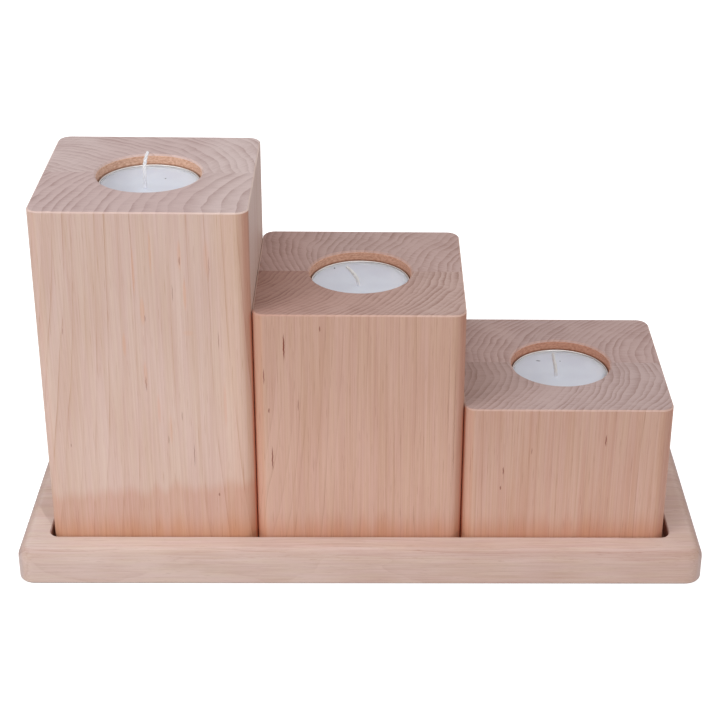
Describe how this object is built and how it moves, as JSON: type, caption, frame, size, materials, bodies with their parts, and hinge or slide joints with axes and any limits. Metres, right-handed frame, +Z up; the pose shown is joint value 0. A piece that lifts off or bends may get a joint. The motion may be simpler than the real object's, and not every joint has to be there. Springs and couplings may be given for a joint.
{
  "type": "advent candle holder",
  "caption": "Wooden advent candle holder: blocks of stepped height, each bored for a tealight, stand loose in a routed wooden tray.",
  "frame": {"origin": "middle of the tray's underside", "axes": "+Z up, +X along the tray from the tall block to the short block, -Y towards the viewer"},
  "size_m": [0.271, 0.1054, 0.1616],
  "materials": {
    "block_wood": "sanded, unvarnished, pale pink-brown",
    "tray_wood": "sanded, unvarnished, pale pink-brown",
    "cup_aluminium": "bright pressed foil",
    "candle_wax": "translucent white wax",
    "wick_cotton": "waxed cotton braid",
    "clip_steel": "plain tinplate"
  },
  "bodies": {
    "tray": {"tray_front_stave": "tray_wood", "tray_middle_stave": "tray_wood", "tray_rear_stave": "tray_wood"},
    "tall_block": {"tall_block_front_stave": "block_wood", "tall_block_rear_stave": "block_wood"},
    "middle_block": {"middle_block_front_stave": "block_wood", "middle_block_rear_stave": "block_wood"},
    "short_block": {"short_block_front_stave": "block_wood", "short_block_rear_stave": "block_wood"},
    "tall_tealight": {"tall_tealight_cup": "cup_aluminium", "tall_tealight_wax": "candle_wax", "tall_tealight_wick": "wick_cotton", "tall_tealight_wick_clip": "clip_steel"},
    "middle_tealight": {"middle_tealight_cup": "cup_aluminium", "middle_tealight_wax": "candle_wax", "middle_tealight_wick": "wick_cotton", "middle_tealight_wick_clip": "clip_steel"},
    "short_tealight": {"short_tealight_cup": "cup_aluminium", "short_tealight_wax": "candle_wax", "short_tealight_wick": "wick_cotton", "short_tealight_wick_clip": "clip_steel"}
  },
  "joints": [
    {"name": "tall_block_lift", "type": "slide", "parent": "tray", "child": "tall_block", "axis": [0, 0, 1], "range_m": [0, 0.03]},
    {"name": "middle_block_lift", "type": "slide", "parent": "tray", "child": "middle_block", "axis": [0, 0, 1], "range_m": [0, 0.03]},
    {"name": "short_block_lift", "type": "slide", "parent": "tray", "child": "short_block", "axis": [0, 0, 1], "range_m": [0, 0.03]},
    {"name": "tall_tealight_lift", "type": "slide", "parent": "tall_block", "child": "tall_tealight", "axis": [0, 0, 1], "range_m": [0, 0.03]},
    {"name": "middle_tealight_lift", "type": "slide", "parent": "middle_block", "child": "middle_tealight", "axis": [0, 0, 1], "range_m": [0, 0.03]},
    {"name": "short_tealight_lift", "type": "slide", "parent": "short_block", "child": "short_tealight", "axis": [0, 0, 1], "range_m": [0, 0.03]}
  ]
}
